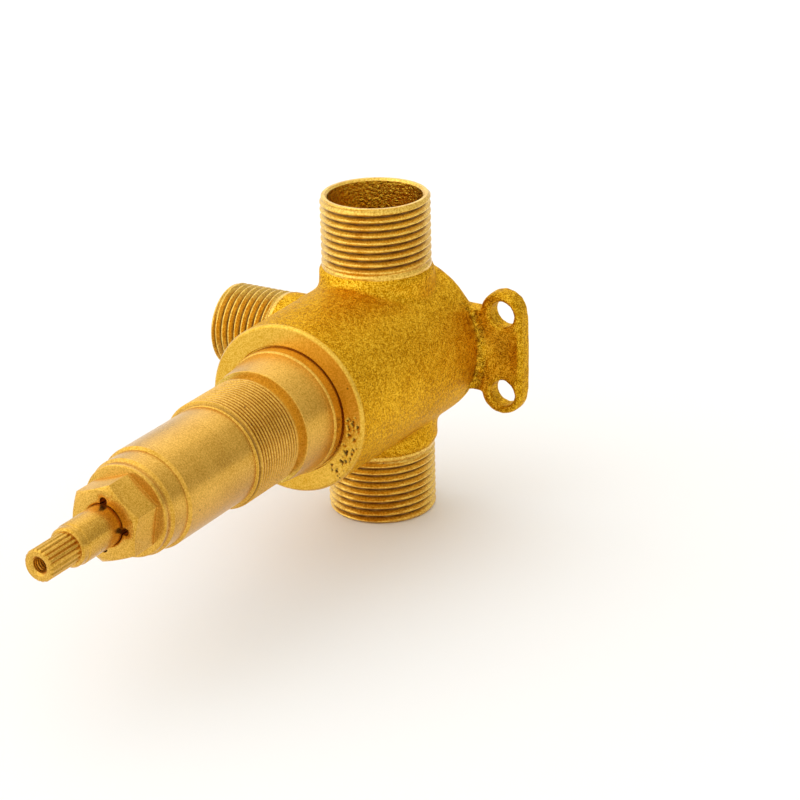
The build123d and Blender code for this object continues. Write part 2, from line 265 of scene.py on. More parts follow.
def bumpOf(tree, height, strength, depth):
    node = addNode(tree, "ShaderNodeBump")
    node.inputs["Strength"].default_value = strength
    node.inputs["Distance"].default_value = depth * mm
    tree.links.new(height, node.inputs["Height"])
    return node.outputs["Normal"]


def cellsOf(tree, vector, scale):
    node = addNode(tree, "ShaderNodeTexVoronoi", Scale=scale)
    tree.links.new(vector, node.inputs["Vector"])
    return node.outputs


def weightedSum(tree, *terms):
    # each term is a value and its share
    products = [mathOf(tree, "MULTIPLY", value, share) for value, share in terms]
    total = products[0]
    for product in products[1:]:
        total = mathOf(tree, "ADD", total, product)
    return total


sheenIor = 1.8  # of the thin clear film on every brass finish


def setMetal(tree, shader, finish, normal):
    # bare metal under a thin clear film, both with the same fine bumps
    tree.links.new(normal, shader.inputs["Normal"])
    tree.links.new(normal, shader.inputs["Coat Normal"])
    shader.inputs["Metallic"].default_value = 1.0
    shader.inputs["Coat Weight"].default_value = finish["sheen"]
    shader.inputs["Coat Roughness"].default_value = finish["sheenRough"]
    shader.inputs["Coat IOR"].default_value = sheenIor


# Finishes

castFinish = {
    "deep": (0.31, 0.120, 0.0002), "gold": (0.69, 0.325, 0.0008), "pale": (1.0, 0.66, 0.05),
    "toneStops": (0.39, 0.50, 0.61), "edgeTint": (1.0, 0.86, 0.55),
    "grain": 3300, "clumps": 1000, "cloud": 60, "pits": 1500, "pitEdge": (0.10, 0.36),
    "grainShare": 0.7, "clumpShare": 0.3, "cloudShare": 0.12,
    # the crease colour is the painted shade in the crease, on the ear and in its dish
    "creaseTone": (0.085, 0.028, 0.0001), "creaseHollows": (0.42, 0.56), "creaseShares": (0.85, 0.25),
    "roughFrom": (0.3, 0.7), "roughLow": 0.34, "roughHigh": 0.56,
    "grainBump": 0.8, "clumpBump": 0.5, "pitBump": 0.25, "bump": 1.0, "bumpDepth": 0.14,
    "sheen": 0.02, "sheenRough": 0.34,
}


def makeCastBrass():
    # sand-cast skin: fine grain, coarser clumps, scattered pits and slow changes of tone;
    # the groove attribute paints shade on the ear, in its dish and in the crease at its root, most in the
    # grain's hollows
    finish = castFinish
    material, tree, shader = newMaterial("castBrass")
    where = addNode(tree, "ShaderNodeTexCoord").outputs["Object"]
    grain = noiseOf(tree, where, finish["grain"], detail=2, roughness=0.7)
    clumps = noiseOf(tree, where, finish["clumps"], detail=3, roughness=0.6)
    cloud = noiseOf(tree, where, finish["cloud"], detail=3, roughness=0.5)
    pit = rangeOf(tree, cellsOf(tree, where, finish["pits"])["Distance"], *finish["pitEdge"], 0, 1)
    drift = mathOf(tree, "SUBTRACT", cloud, 0.5)  # the cloud noise about its middle
    mottle = weightedSum(tree, (grain, finish["grainShare"]), (clumps, finish["clumpShare"]),
                         (drift, finish["cloudShare"]))
    tones = (finish["deep"], finish["gold"], finish["pale"])
    colour = rampOf(tree, mottle, zip(finish["toneStops"], tones))
    # painted shade: the attribute, broken up by the mottle, mixes the dark crease colour into the skin
    crease = addNode(tree, "ShaderNodeAttribute", attribute_name="groove").outputs["Fac"]
    broken = rangeOf(tree, mottle, *finish["creaseHollows"], *finish["creaseShares"])
    shaded = mathOf(tree, "MULTIPLY", crease, broken)
    tree.links.new(mixOf(tree, shaded, colour, finish["creaseTone"]), shader.inputs["Base Color"])
    rough = rangeOf(tree, clumps, *finish["roughFrom"], finish["roughLow"], finish["roughHigh"])
    tree.links.new(rough, shader.inputs["Roughness"])
    height = weightedSum(tree, (grain, finish["grainBump"]), (clumps, finish["clumpBump"]),
                         (pit, finish["pitBump"]))
    setMetal(tree, shader, finish, bumpOf(tree, height, finish["bump"], finish["bumpDepth"]))
    shader.inputs["Specular Tint"].default_value = (*finish["edgeTint"], 1)
    return material


turnedFinish = {
    "warm": (0.51, 0.250, 0.004), "bright": (0.83, 0.480, 0.072), "toneStops": (0.40, 0.60),
    "ringScale": 3400, "cloud": 55, "fleck": 2800, "ringShare": 0.12, "cloudShare": 0.26, "fleckShare": 0.62,
    # the dark colour paints shade into thread roots and pits and also colours the random dark specks
    "grooveTone": (0.13, 0.045, 0.001), "grooveShare": 0.92, "groovePower": 1.5,
    "speckScale": 420, "speckSize": 0.12, "speckFrom": 0.82,
    "roughFrom": (0.35, 0.65), "roughLow": 0.25, "roughHigh": 0.35,
    "ringBump": 0.35, "bump": 0.4, "bumpDepth": 0.03, "sheen": 0.24, "sheenRough": 0.36,
}
threadFinish = dict(
    turnedFinish, warm=(0.60, 0.300, 0.003), bright=(1.0, 0.67, 0.10), fleck=2200, bump=0.6,
    sheen=0.45, sheenRough=0.25, roughLow=0.28, roughHigh=0.40, groovePower=2.6)
# bores: stronger cut rings and bumps, and a paler colour that is painted light, lifting the shade inside the
# bores
boreFinishPaintedPaler = dict(
    turnedFinish, warm=(0.62, 0.275, 0.001), bright=(1.0, 0.74, 0.07), fleck=1300, ringScale=1500,
    ringShare=0.42, cloudShare=0.10, fleckShare=0.48, ringBump=1.2, bump=1.0, bumpDepth=0.20,
    sheen=0.1, roughLow=0.18, roughHigh=0.30)
# the collar's front step: the turned finish in a paler, less orange colour, painted light that offsets the
# brass reflected in it
stepFinishPaintedPaler = dict(turnedFinish, warm=(0.53, 0.312, 0.008), bright=(0.86, 0.600, 0.130))
# the machined front face: less sheen and fewer specks, and a paler colour that is painted light, lifting the
# shadowed floor and sleeve it reflects
faceFinishPaintedPaler = dict(
    turnedFinish, warm=(0.62, 0.320, 0.010), bright=(0.88, 0.550, 0.08), sheen=0.12,
    grooveTone=(0.06, 0.022, 0.0005), grooveShare=0.9, speckFrom=0.88)


def makeTurnedBrass(name, finish, axis):
    # turned face: a fine speckle, faint rings that follow the tool round the axis and slow changes of tone;
    # the groove attribute paints shade into the colour towards a thread's root or a pit's floor;
    # a few cells of a fine net, those with a high random value, carry a dark speck at their middle
    material, tree, shader = newMaterial(name)
    where = addNode(tree, "ShaderNodeTexCoord").outputs["Object"]
    parts = addNode(tree, "ShaderNodeSeparateXYZ")
    tree.links.new(where, parts.inputs["Vector"])
    along = parts.outputs["XYZ"[axis]]
    others = [parts.outputs["XYZ"[index]] for index in range(3) if index != axis]
    squares = [mathOf(tree, "MULTIPLY", value, value) for value in others]
    radius = mathOf(tree, "SQRT", mathOf(tree, "ADD", squares[0], squares[1]), 0.0)
    lathe = addNode(tree, "ShaderNodeCombineXYZ")
    tree.links.new(radius, lathe.inputs["X"])
    tree.links.new(along, lathe.inputs["Y"])
    rings = noiseOf(tree, lathe.outputs["Vector"], finish["ringScale"], detail=2, roughness=0.6)
    cloud = noiseOf(tree, where, finish["cloud"], detail=3, roughness=0.55)
    fleck = noiseOf(tree, where, finish["fleck"], detail=2, roughness=0.7)
    tone = weightedSum(tree, (fleck, finish["fleckShare"]), (rings, finish["ringShare"]),
                       (cloud, finish["cloudShare"]))
    colour = rampOf(tree, tone, zip(finish["toneStops"], (finish["warm"], finish["bright"])))
    groove = addNode(tree, "ShaderNodeAttribute", attribute_name="groove").outputs["Fac"]
    depth = mathOf(tree, "POWER", groove, finish["groovePower"])
    shaded = mathOf(tree, "MULTIPLY", depth, finish["grooveShare"])
    cells = cellsOf(tree, where, finish["speckScale"])
    middle = rangeOf(tree, cells["Distance"], finish["speckSize"] / 2, finish["speckSize"], 1, 0)
    chosen = mathOf(tree, "GREATER_THAN", cells["Color"], finish["speckFrom"])
    shaded = mathOf(tree, "MAXIMUM", shaded, mathOf(tree, "MULTIPLY", middle, chosen))
    # one dark colour for the painted shade in the hollows and for the random specks
    tree.links.new(mixOf(tree, shaded, colour, finish["grooveTone"]), shader.inputs["Base Color"])
    rough = rangeOf(tree, cloud, *finish["roughFrom"], finish["roughLow"], finish["roughHigh"])
    tree.links.new(rough, shader.inputs["Roughness"])
    ridge = mathOf(tree, "ADD", mathOf(tree, "MULTIPLY", rings, finish["ringBump"]), fleck)
    setMetal(tree, shader, finish, bumpOf(tree, ridge, finish["bump"], finish["bumpDepth"]))
    return material


rubberFinish = {"colour": (0.012, 0.012, 0.013), "roughness": 0.55, "grain": 1800,
                "bump": 0.2, "bumpDepth": 0.02}
ceramicFinish = {"colour": (0.82, 0.80, 0.75), "roughness": 0.16, "grain": 900,
                 "bump": 0.05, "bumpDepth": 0.01}
plasticFinish = {"colour": (0.80, 0.80, 0.77), "roughness": 0.42, "grain": 1200,
                 "bump": 0.12, "bumpDepth": 0.02}
mouldedMottle = {"darkShare": 0.82, "toneStops": (0.35, 0.65),
                 "roughFrom": (0.3, 0.7), "roughSwing": (0.85, 1.15)}


def makeMoulded(name, finish):
    # a non-metal: one colour with a slight mottle and a fine grain in the roughness and bump
    material, tree, shader = newMaterial(name)
    where = addNode(tree, "ShaderNodeTexCoord").outputs["Object"]
    grain = noiseOf(tree, where, finish["grain"], detail=3, roughness=0.6)
    dark = tuple(mouldedMottle["darkShare"] * value for value in finish["colour"])
    colour = rampOf(tree, grain, zip(mouldedMottle["toneStops"], (dark, finish["colour"])))
    tree.links.new(colour, shader.inputs["Base Color"])
    swing = (finish["roughness"] * share for share in mouldedMottle["roughSwing"])
    tree.links.new(rangeOf(tree, grain, *mouldedMottle["roughFrom"], *swing), shader.inputs["Roughness"])
    tree.links.new(bumpOf(tree, grain, finish["bump"], finish["bumpDepth"]), shader.inputs["Normal"])
    return material


castBrass = makeCastBrass()
turnedBrass = makeTurnedBrass("turnedBrass", turnedFinish, 1)
supplyThreadBrass = makeTurnedBrass("supplyThreadBrass", threadFinish, 2)
outletThreadBrass = makeTurnedBrass("outletThreadBrass", threadFinish, 0)
boreBrass = makeTurnedBrass("boreBrass", boreFinishPaintedPaler, 2)
faceBrass = makeTurnedBrass("faceBrass", faceFinishPaintedPaler, 1)
stepBrass = makeTurnedBrass("stepBrass", stepFinishPaintedPaler, 1)
blackRubber = makeMoulded("blackRubber", rubberFinish)
whiteCeramic = makeMoulded("whiteCeramic", ceramicFinish)
whitePlastic = makeMoulded("whitePlastic", plasticFinish)
print("materials made")


# Cast body: the node's own form without its plain port ends

castingShape = {
    "supplyCut": 22.8, "outletCut": 26.3, "faceCut": 1.0, "voxel": 0.475, "sharpAngle": 60,
    "soften": 2, "softenShare": 0.5,
    # painted shade: a little over the whole ear, more in the dish between its holes, most in the crease at
    # its root
    "earFrom": 22.6, "earSoften": 90, "earStep": 0.50, "earStepBack": -0.51, "earTone": 0.24,
    "dishFrom": 21.9, "dishTo": 31.9, "dishHalf": 7.2, "dishFront": -2.4, "dishSoften": 60,
    "dishMiddle": 27.2, "dishSpread": (2.4, 4.6), "dishTone": 0.62,
    "creaseRadii": (21.7, 23.1), "creaseSide": 0.8, "creaseY": -4.85, "creaseWidth": 0.6, "creaseDepth": 0.40,
    "creaseGrain": 0.62, "creaseGain": 3.0, "creaseFloor": 0.8, "creaseMost": 1.3, "creaseTone": 2.0,
    "lump": 2.6, "lumpHeight": 0.10, "grain": 0.95, "grainHeight": 0.08, "faceFade": 0.8, "endFade": 0.6,
    "seed": 11,
}
# how far the bores' zones reach: past the trim thread, past the socket, and short of the outlet's crest
boreReach = {"chamber": 5.7, "waterway": 0.9, "outlet": 1.9}


def trimAt(work, place, direction):
    # cuts the casting off at a plane and closes the cut with a ring between its two round edges
    cut = bmesh.ops.bisect_plane(
        work, geom=work.verts[:] + work.edges[:] + work.faces[:], dist=cutGap,
        plane_co=Vector(place) * mm, plane_no=Vector(direction), clear_outer=True)
    rims = [item for item in cut["geom_cut"] if isinstance(item, bmesh.types.BMEdge)]
    bmesh.ops.bridge_loops(work, edges=rims)


def evenMesh(mesh, voxel):
    # the same closed form as an even net of small quads
    holder = bpy.data.objects.new("evenHolder", mesh)
    bpy.context.scene.collection.objects.link(holder)
    modifier = holder.modifiers.new("even", "REMESH")
    modifier.mode = "VOXEL"
    modifier.voxel_size = voxel * mm
    graph = bpy.context.evaluated_depsgraph_get()
    even = bpy.data.meshes.new_from_object(holder.evaluated_get(graph))
    bpy.data.objects.remove(holder)
    return even


def trimmedBody():
    # the body without its port ends and the outermost layer of its front
    shape = castingShape
    mesh = mergedCopy("valve_body", "castingBlank")
    work = bmesh.new()
    work.from_mesh(mesh)
    trimAt(work, (0, portsY, shape["supplyCut"]), (0, 0, 1))
    trimAt(work, (0, portsY, -shape["supplyCut"]), (0, 0, -1))
    trimAt(work, (-shape["outletCut"], portsY, 0), (-1, 0, 0))
    trimAt(work, (0, bodyLow[1] + shape["faceCut"], 0), (0, -1, 0))
    bmesh.ops.recalc_face_normals(work, faces=work.faces)
    work.to_mesh(mesh)
    work.free()
    return mesh


def meshArray(items, key, width):
    values = np.empty(len(items) * width)
    items.foreach_get(key, values)
    return values.reshape(-1, width)


def setPoints(mesh, points):
    mesh.vertices.foreach_set("co", (points * mm).ravel())
    mesh.update()


def softened(points, edges, share):
    # each point moves by its share towards the mean of its neighbours
    first, second = edges.T
    count = np.bincount(first, minlength=len(points)) + np.bincount(second, minlength=len(points))
    total = np.zeros_like(points)
    for axis in range(3):
        total[:, axis] += np.bincount(first, points[second, axis], len(points))
        total[:, axis] += np.bincount(second, points[first, axis], len(points))
    return points + share[:, None] * (total / count[:, None] - points)


def insideBores(points):
    # inside the chamber, the in-line waterway or the outlet's bore
    x, y, z = points.T
    chamber = (np.hypot(x, z) < mountRadius("trim_thread") + boreReach["chamber"]) & (y < portsY)
    waterway = np.hypot(x, y - portsY) < mountRadius("socket_top") + boreReach["waterway"]
    outletBore = (np.hypot(z, y - portsY) < mountRadius("outlet") - boreReach["outlet"]) & (x < 0)
    return chamber | waterway | outletBore


def smoothCasting(points, edges, onEar):
    # a little everywhere, then the ear's edges, then the shallow dish between the ear's holes
    shape = castingShape
    x, y, z = points.T
    onDish = np.clip(x - shape["dishFrom"], 0, 1) * np.clip(shape["dishTo"] - x, 0, 1)
    onDish *= np.clip(shape["dishHalf"] - np.abs(z), 0, 1) * (y < shape["dishFront"])
    everywhere = np.full(len(points), shape["softenShare"])
    for turn in range(shape["soften"]):
        points = softened(points, edges, everywhere)
    for turn in range(shape["earSoften"]):  # a step back after each step keeps the ear from shrinking
        points = softened(points, edges, shape["earStep"] * onEar)
        points = softened(points, edges, shape["earStepBack"] * onEar)
    for turn in range(shape["dishSoften"]):
        points = softened(points, edges, shape["softenShare"] * onDish)
    return points


def creaseOf(points):
    # rough furrows along two circles where the ear leaves the barrel: exp(-(distance / width) ^ 2) * noise;
    # they sink the skin and set the painted shade in the crease
    shape = castingShape
    x, y, z = points.T
    crease = np.zeros(len(points))
    for ring in shape["creaseRadii"]:
        away = np.hypot(np.hypot(x, z) - ring, y - shape["creaseY"])
        crease += np.exp(-(away / shape["creaseWidth"]) ** 2) * (x > shape["creaseSide"] * ring)
    noise = latticeNoise(points, shape["creaseGrain"], shape["seed"] + 2)
    return crease * np.clip(shape["creaseGain"] * noise - shape["creaseFloor"], 0, shape["creaseMost"])


def skinShare(points):
    # 1 on the cast skin, fading to 0 at the machined ends and in the bores
    shape = castingShape
    x, y, z = points.T
    share = 1.0 - insideBores(points)
    share *= np.clip((y - bodyLow[1] - shape["faceCut"]) / shape["faceFade"], 0, 1)
    share *= np.clip((shape["supplyCut"] - np.abs(z)) / shape["endFade"], 0, 1)
    share *= np.clip((shape["outletCut"] + x) / shape["endFade"], 0, 1)
    return share


def makeCasting():
    shape = castingShape
    mesh = evenMesh(trimmedBody(), shape["voxel"])
    mesh.name = "valveCasting"
    points = meshArray(mesh.vertices, "co", 3) / mm
    edges = meshArray(mesh.edges, "vertices", 2).astype(int)
    onEar = np.clip(points[:, 0] - shape["earFrom"], 0, 1)
    points = smoothCasting(points, edges, onEar)
    setPoints(mesh, points)
    outward = meshArray(mesh.vertices, "normal", 3)
    # skin: each point moves inwards by lump noise, grain noise and the crease
    lump = latticeNoise(points, shape["lump"], shape["seed"])
    grain = latticeNoise(points, shape["grain"], shape["seed"] + 1)
    crease = creaseOf(points)
    depth = shape["lumpHeight"] * lump + shape["grainHeight"] * grain + shape["creaseDepth"] * crease
    sunk = skinShare(points) * depth
    points = np.clip(points - outward * sunk[:, None], bodyLow, bodyHigh)
    setPoints(mesh, points)
    # painted shade, darkest in the dish between the holes: shade * exp(-(across / spread) ^ 2 - (up / spread)
    # ^ 2)
    across = (points[:, 0] - shape["dishMiddle"]) / shape["dishSpread"][0]
    dark = shape["dishTone"] * np.exp(-across ** 2 - (points[:, 2] / shape["dishSpread"][1]) ** 2)
    dark *= points[:, 1] < shape["dishFront"]
    # painted shade over the whole ear and the crease's painted shade join it in the groove attribute
    dark = np.maximum(dark, shape["earTone"] * onEar)
    markPaintedShade(mesh, np.clip(np.maximum(shape["creaseTone"] * crease, dark), 0, 1))
    shadeBy(mesh, shape["sharpAngle"])
    mesh.materials.clear()
    # the bores take the paler bore colour, painted light against their shade
    for material in (castBrass, boreBrass):
        mesh.materials.append(material)
    centres = meshArray(mesh.polygons, "center", 3) / mm
    mesh.polygons.foreach_set("material_index", insideBores(centres).astype(np.int32))
    return addPiece("valveCasting", mesh, "housing", "cast_brass", "valve_body")


valveCasting = makeCasting()
print("casting:", len(valveCasting.data.polygons), "faces")


# Machined front face of the casting, with the small casting pits that the cut laid open

faceShape = {
    "nearFace": 0.9, "backInset": 0.08, "wallInset": 0.02, "chamfer": 0.6, "ease": 0.1, "easeOuter": 0.14,
    "easeInner": 0.16, "recess": 15.4, "recessDepth": 0.8, "bore": 13.6, "lap": 0.8,
    "columns": 480, "step": 0.22, "innerStep": 0.8, "sharpAngle": 28,
    "pits": 56, "pitAngles": (-48, 4), "pitRadii": (16.0, 19.4), "pitSize": (0.12, 0.34),
    "pitDepth": (0.15, 0.5), "pitFloor": 0.5, "pitTone": 0.22, "seed": 5,
}


def radiusAtFace():
    # the casting's outer radius just behind its machined face
    points = meshArray(nodes["valve_body"].data.vertices, "co", 3) / mm
    near = points[points[:, 1] < bodyLow[1] + faceShape["nearFace"]]
    return np.hypot(near[:, 0], near[:, 2]).max()


def makeFace():
    # ring of revolution: cast outer wall, eased chamfer, flat face, recess and bore;
    # each pit sinks the flat face by depth * exp(-(distance / size) ^ 2)
    shape = faceShape
    face = -bodyLow[1]
    outer = radiusAtFace()
    chamfer, ease = shape["chamfer"], shape["ease"]
    recess, floor = shape["recess"], face - shape["recessDepth"]
    back = face - castingShape["faceCut"] - shape["lap"]
    wallBack = (outer - shape["backInset"], back)
    wallFront = (outer - shape["wallInset"], face - chamfer - ease)
    flatOuter = (outer - chamfer - ease, face)
    flatInner = (recess + ease, face)
    wall = densify([wallBack, wallFront], shape["step"])
    edge = densify([wallFront, (wallFront[0] - ease, face - chamfer + shape["easeOuter"]),
                    (outer - chamfer + shape["easeInner"], face - ease), flatOuter], shape["step"])
    flat = densify([flatOuter, flatInner], shape["step"])
    inner = densify([flatInner, (recess, face - ease), (recess, floor), (shape["bore"], floor),
                     (shape["bore"], back), wallBack], shape["innerStep"])
    profile = np.vstack([wall, edge, flat, inner])
    radius, along, turn = turnedGrid(profile, shape["columns"])
    rng = np.random.default_rng(shape["seed"])
    count = shape["pits"]
    angles = np.radians(rng.uniform(*shape["pitAngles"], count))
    radii = rng.uniform(*shape["pitRadii"], count)
    sizes = rng.uniform(*shape["pitSize"], count)
    depths = rng.uniform(*shape["pitDepth"], count)
    x, z = radius * np.cos(turn), radius * np.sin(turn)
    gaps = np.hypot(x[..., None] - radii * np.cos(angles), z[..., None] - radii * np.sin(angles))
    dents = (depths * np.exp(-(gaps / sizes) ** 2)).sum(axis=-1)
    flatFrom = len(wall) + len(edge)
    onFlat = np.zeros(len(profile))
    onFlat[flatFrom - 1:flatFrom + len(flat)] = 1
    sunk = np.clip(dents, 0, shape["pitFloor"]) * onFlat[:, None]
    along = along - sunk
    points = placeTurned(radius, along, turn, (0, 0, 0), (1, 0, 0), (0, 0, 1), (0, -1, 0))
    mesh = meshFromGrid("valveFace", points, True)
    turnOutward(mesh)
    # painted shade in the pits, darker the deeper they sink
    markPaintedShade(mesh, np.clip(sunk / shape["pitTone"], 0, 1))
    shadeBy(mesh, shape["sharpAngle"])
    # the flat face takes the paler colour, painted light against what it reflects; the cast wall keeps the
    # cast skin
    for material in (faceBrass, castBrass):
        mesh.materials.append(material)
    setRowFinish(mesh, np.arange(len(profile)) < len(wall), shape["columns"])
    return addPiece("valveFace", mesh, "housing", "cast_brass")


valveFace = makeFace()
print("face:", len(valveFace.data.polygons), "faces")


# Threaded port ends

supplyThread = {
    "pitch": 1.814, "depth": 1.05, "plain": 0.2, "entry": 0.8, "runOutFrom": 0.4, "runOut": 1.4,
    "crest": 0.16, "root": 0.06, "startTurn": 0.35, "chamfer": 0.6, "lap": 0.6,
    "bore": 9.0, "boreEase": 0.03, "socketLip": 0.5,
    "columns": 144, "step": 0.11, "innerStep": 1.2, "sharpAngle": 38,
}
# the outlet has no socket: its bore runs on to the mouth
outletThread = dict(supplyThread, depth=1.0, plain=0.3, startTurn=0.3, bore=7.0, mouth=4.0, socketLip=0.4,
                    columns=128)


def threadedEnd(name, shape, mount, start, socketRadius, socketDepth, right, up, material):
    # profile: outer wall with the thread, chamfered end, socket and bore back to the start
    # outer radius = crest radius - depth * weight * (1 - wave(along / pitch - turn / 2 pi))
    axis = np.array(mounts[mount]["axis"], float)
    crest = mountRadius(mount)
    end = abs(np.dot(axis, bodyHigh if axis.sum() > 0 else bodyLow))
    chamfer, lip = shape["chamfer"], shape["socketLip"]
    bore = shape["bore"] + shape["boreEase"]
    back = start - shape["lap"]
    outer = densify([(crest, back), (crest, end - chamfer), (crest - chamfer, end)], shape["step"])
    inner = densify([(crest - chamfer, end), (socketRadius + lip, end), (socketRadius, end - lip),
                     (socketRadius, end - socketDepth), (bore, end - socketDepth),
                     (bore, back), (crest, back)], shape["innerStep"])
    profile = np.vstack([outer, inner])
    radius, along, turn = turnedGrid(profile, shape["columns"])
    entry = np.clip((end - shape["plain"] - along) / shape["entry"], 0, 1)
    runOut = np.clip((along - start - shape["runOutFrom"]) / shape["runOut"], 0, 1)
    weight = entry * runOut
    weight[len(outer):] = 0
    phase = along / shape["pitch"] - turn / (2 * pi) + shape["startTurn"]
    wave = threadWave(phase, shape["crest"], shape["root"])
    groove = weight * (1 - wave)
    radius = radius - shape["depth"] * groove
    points = placeTurned(radius, along, turn, (0, portsY, 0), right, up, axis)
    mesh = meshFromGrid(name, points, True)
    turnOutward(mesh)
    # the groove's share also paints shade into the thread's roots
    markPaintedShade(mesh, groove)
    shadeBy(mesh, shape["sharpAngle"])
    # the socket and bore take the paler bore colour, painted light against their shade
    for finish in (material, boreBrass):
        mesh.materials.append(finish)
    boreFrom = len(outer) + 2  # the end and its lip keep the thread's finish
    setRowFinish(mesh, np.arange(len(profile)) >= boreFrom, shape["columns"])
    return addPiece(name, mesh, "housing", "cast_brass")


for side, up in (("top", (0, 1, 0)), ("bottom", (0, -1, 0))):
    socket = mounts["socket_" + side]["dims"]
    threadedEnd("supply" + side.capitalize() + "Thread", supplyThread, "supply_" + side,
                castingShape["supplyCut"], socket["r_mm"], socket["length_mm"],
                (1, 0, 0), up, supplyThreadBrass)
threadedEnd("outletThread", outletThread, "outlet", castingShape["outletCut"], outletThread["bore"],
            outletThread["mouth"], (0, 0, 1), (0, 1, 0), outletThreadBrass)
print("port threads made")


# Turned sleeve with its trim thread

sleeveShape = {
    "rim": 15.1, "rimLength": 3.2, "rimChamfer": 0.4, "rimEase": 0.14,
    "collarBack": 14.7, "collarFront": 13.65, "collarLength": 9.6, "collarEase": 0.02,
    "undercut": 12.0, "undercutLength": 1.8, "threadLength": 16.2, "threadChamfer": 0.8,
    "barrel": 11.75, "barrelLength": 24.8, "barrelChamfer": 0.5, "nose": 11.05, "noseChamfer": 0.6,
    "spigot": 13.5, "seat": 0.8, "glandBore": 8.6, "glandDepth": 12.4, "bore": 7.0,
    "pitch": 1.0, "depth": 0.64, "crest": 0.32, "root": 0.10, "runOutFrom": 0.6, "runOut": 0.8,
    "columns": 192, "step": 0.0625, "headStep": 0.8, "tailStep": 1.2, "edge": 0.12, "sharpAngle": 24,
}


def makeSleeve():
    # the same outline as the solid, with small broken edges
    # thread: radius = outline radius - depth * weight * (1 - wave(along / pitch - turn / 2 pi))
    shape = sleeveShape
    front, back = -sleeveLow[1], -sleeveHigh[1]
    seat = -bodyLow[1] - shape["seat"]
    rimEnd = -bodyLow[1] + shape["rimLength"]
    collarEnd = rimEnd + shape["collarLength"]
    threadStart = collarEnd + shape["undercutLength"]
    threadEnd = threadStart + shape["threadLength"]
    barrelEnd = threadEnd + shape["barrelLength"]
    glandEnd = front - shape["glandDepth"]
    edge, rim, collar = shape["edge"], shape["rim"], shape["collarFront"]
    spigot, undercut, barrel = shape["spigot"], shape["undercut"], shape["barrel"]
    nose, noseChamfer = shape["nose"], shape["noseChamfer"]
    glandBore, bore = shape["glandBore"], shape["bore"]
    threadRadius = mountRadius("trim_thread")
    lead = threadRadius - undercut
    head = [(spigot, back), (spigot, seat), (rim, seat), (rim, rimEnd - shape["rimChamfer"]),
            (rim - edge, rimEnd - shape["rimEase"]), (shape["collarBack"], rimEnd),
            (collar + shape["collarEase"], collarEnd - edge), (collar - edge, collarEnd),
            (undercut, collarEnd), (undercut, threadStart), (threadRadius, threadStart + lead)]
    thread = [(threadRadius, threadStart + lead), (threadRadius, threadEnd - shape["threadChamfer"]),
              (barrel, threadEnd)]
    tail = [(barrel, threadEnd), (barrel, barrelEnd - shape["barrelChamfer"]), (nose, barrelEnd),
            (nose, front - noseChamfer), (nose - noseChamfer, front), (glandBore, front),
            (glandBore, glandEnd), (bore, glandEnd), (bore, back), (spigot, back)]
    headPoints = densify(head, shape["headStep"])
    threadPoints = densify(thread, shape["step"])
    tailPoints = densify(tail, shape["tailStep"])
    profile = np.vstack([headPoints, threadPoints, tailPoints])
    radius, along, turn = turnedGrid(profile, shape["columns"])
    weight = np.zeros(len(profile))
    weight[len(headPoints):len(headPoints) + len(threadPoints)] = 1
    entry = np.clip((along - threadStart - shape["runOutFrom"]) / shape["runOut"], 0, 1)
    runOut = np.clip((threadEnd - along) / shape["runOut"], 0, 1)
    phase = along / shape["pitch"] - turn / (2 * pi)
    wave = threadWave(phase, shape["crest"], shape["root"])
    groove = weight[:, None] * (entry * runOut) * (1 - wave)
    radius = radius - shape["depth"] * groove
    points = placeTurned(radius, along, turn, (0, 0, 0), (1, 0, 0), (0, 0, 1), (0, -1, 0))
    mesh = meshFromGrid("bonnetSleeve", points, True)
    turnOutward(mesh)
    # the groove's share also paints shade into the thread's roots
    markPaintedShade(mesh, groove)
    shadeBy(mesh, shape["sharpAngle"])
    for material in (turnedBrass, stepBrass):
        mesh.materials.append(material)
    # the collar's front step takes the paler colour, painted light against the brass it reflects
    onStep = np.isclose(profile[:, 1], collarEnd) & (profile[:, 0] > undercut)
    setRowFinish(mesh, onStep, shape["columns"])
    return addPiece("bonnetSleeve", mesh, "housing", "turned_brass", "bonnet_sleeve")


bonnetSleeve = makeSleeve()
print("sleeve:", len(bonnetSleeve.data.polygons), "faces")


# Gland bush and spindle: the nodes' own forms with broken edges

brokenEdge = {"width": 0.09, "segments": 2, "angle": 30}


def makeBevelled(node, name, body):
    mesh = mergedCopy(node, name)
    shadeBy(mesh, brokenEdge["angle"])
    mesh.materials.append(turnedBrass)
    piece = addPiece(name, mesh, body, "turned_brass", node)
    bevel = piece.modifiers.new("brokenEdges", "BEVEL")
    bevel.width = brokenEdge["width"] * mm
    bevel.segments = brokenEdge["segments"]
    bevel.limit_method = "ANGLE"
    bevel.angle_limit = radians(brokenEdge["angle"])
    bevel.harden_normals = True


makeBevelled("gland_bush", "glandBush", "housing")
makeBevelled("spindle", "valveSpindle", "stem")


tapping = {
    "pitch": 0.7, "inner": 1.44, "outer": 1.70, "depth": 0.19, "crest": 0.1, "root": 0.1, "start": 0.75,
    "length": 6.3, "runOut": 0.7, "columns": 40, "step": 0.07, "sharpAngle": 30,
}


